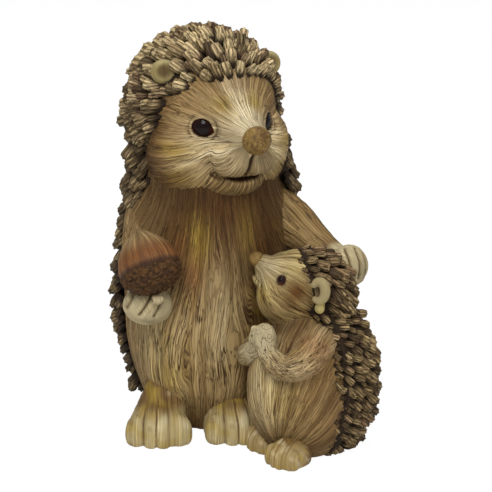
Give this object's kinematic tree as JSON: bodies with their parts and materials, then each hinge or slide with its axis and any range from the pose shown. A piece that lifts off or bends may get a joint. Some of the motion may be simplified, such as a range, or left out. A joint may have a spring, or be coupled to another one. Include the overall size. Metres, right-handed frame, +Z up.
{
  "type": "garden ornament",
  "caption": "Standing hedgehog garden ornament of cast resin, with an acorn in one paw and its other arm round a young hedgehog.",
  "frame": {"origin": "on the ground, under the centre of the figure's bounding box", "axes": "+Z up along the standing figure, -Y to the front of the mother, +X to her left, where her young stands"},
  "size_m": [0.2398, 0.2584, 0.3764],
  "materials": {
    "fur_resin": "cast resin carved as fur, hand-painted brown and cream, matt",
    "pale_resin": "cast resin carved as fur, hand-painted cream with brown grooves, matt",
    "spine_resin": "cast resin, dark brown wash with dry-brushed cream and ochre tips, matt",
    "nose_resin": "cast resin, mottled tan, low sheen",
    "eye_acrylic": "polished dark brown acrylic with a reddish rim",
    "nut_resin": "cast resin, orange brown fading to tan at the tip, matt",
    "cup_resin": "rough cast resin, dark reddish brown, matt",
    "bare_resin": "bare cast resin",
    "plug_rubber": "black rubber",
    "dowel_steel": "plain steel rod"
  },
  "bodies": {
    "root": {"torso_shell": "fur_resin", "head_shell": "fur_resin", "right_arm": "fur_resin", "left_arm": "fur_resin", "young_body": "fur_resin", "young_head": "fur_resin", "young_left_arm": "fur_resin", "young_right_arm": "fur_resin", "right_foot": "pale_resin", "left_foot": "pale_resin", "left_ear": "pale_resin", "right_ear": "pale_resin", "young_left_foot": "pale_resin", "young_right_foot": "pale_resin", "young_left_ear": "pale_resin", "young_right_ear": "pale_resin", "back_coat": "spine_resin", "head_coat": "spine_resin", "young_back_coat": "spine_resin", "young_head_coat": "spine_resin", "nose": "nose_resin", "young_nose": "nose_resin", "left_eye": "eye_acrylic", "right_eye": "eye_acrylic", "young_left_eye": "eye_acrylic", "young_right_eye": "eye_acrylic", "acorn_nut": "nut_resin", "acorn_cup": "cup_resin", "base_plate": "bare_resin", "young_plug": "plug_rubber", "right_arm_dowel": "dowel_steel", "left_arm_dowel": "dowel_steel", "right_foot_dowel": "dowel_steel", "left_foot_dowel": "dowel_steel", "young_dowel": "dowel_steel", "young_neck_dowel": "dowel_steel"}
  },
  "joints": []
}
